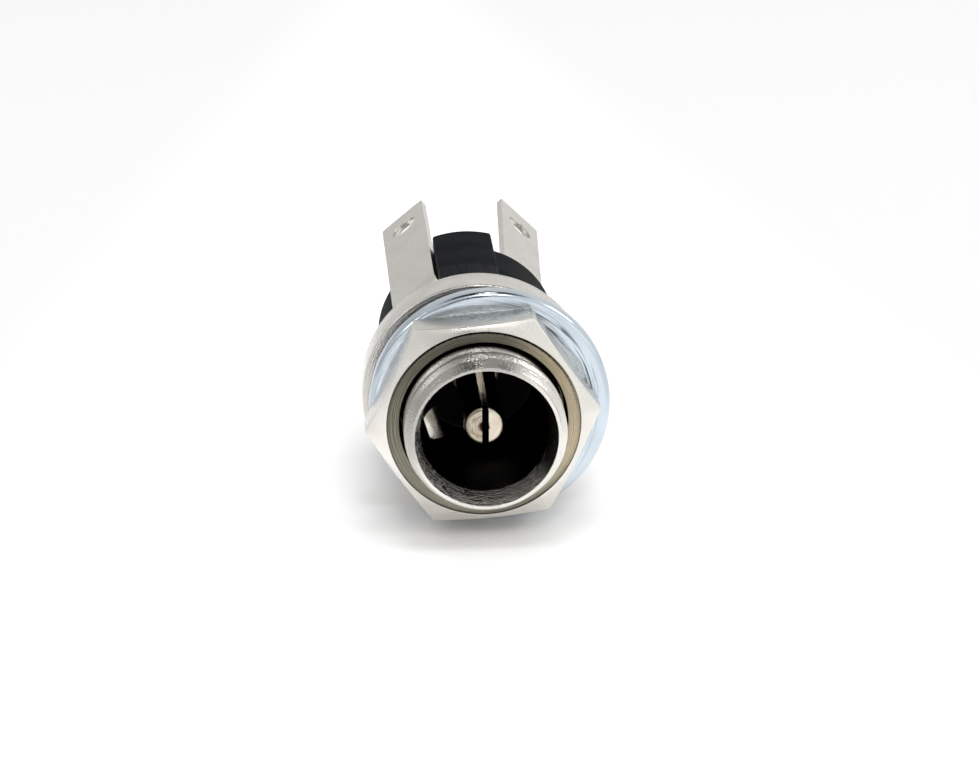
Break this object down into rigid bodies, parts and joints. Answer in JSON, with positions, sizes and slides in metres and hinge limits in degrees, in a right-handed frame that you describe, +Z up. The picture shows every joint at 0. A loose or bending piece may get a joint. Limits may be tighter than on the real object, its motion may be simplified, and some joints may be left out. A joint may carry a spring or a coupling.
{
  "type": "panel mount dc barrel jack",
  "caption": "Metal-bodied threaded panel jack for a round power plug, with a split centre pin, a nut, a washer and solder lugs.",
  "frame": {"origin": "centre of the flange's front face, where it seats on the back of the panel", "axes": "-Y along the jack's axis out of the mouth, +Y towards the solder lugs, +Z up, with the lugs on the upper side"},
  "size_m": [0.0122, 0.0244, 0.0119],
  "materials": {
    "nickel_shell": "turned brass, nickel plated, satin with fine tool marks",
    "nickel_nut": "turned brass, nickel plated, satin",
    "nickel_pin": "turned brass, nickel plated, bright",
    "nickel_contact": "stamped brass strip, nickel plated, satin",
    "zinc_washer": "stamped steel, bright blue zinc plated",
    "black_liner": "moulded black plastic, glossy in the socket",
    "black_block": "moulded black plastic, matte"
  },
  "bodies": {
    "root": {"threaded_shell": "nickel_shell", "front_insulator": "black_liner", "rear_insulator": "black_block", "centre_pin": "nickel_pin", "sleeve_contact": "nickel_contact", "pin_terminal": "nickel_contact", "hex_nut": "nickel_nut", "flat_washer": "zinc_washer"}
  },
  "joints": []
}
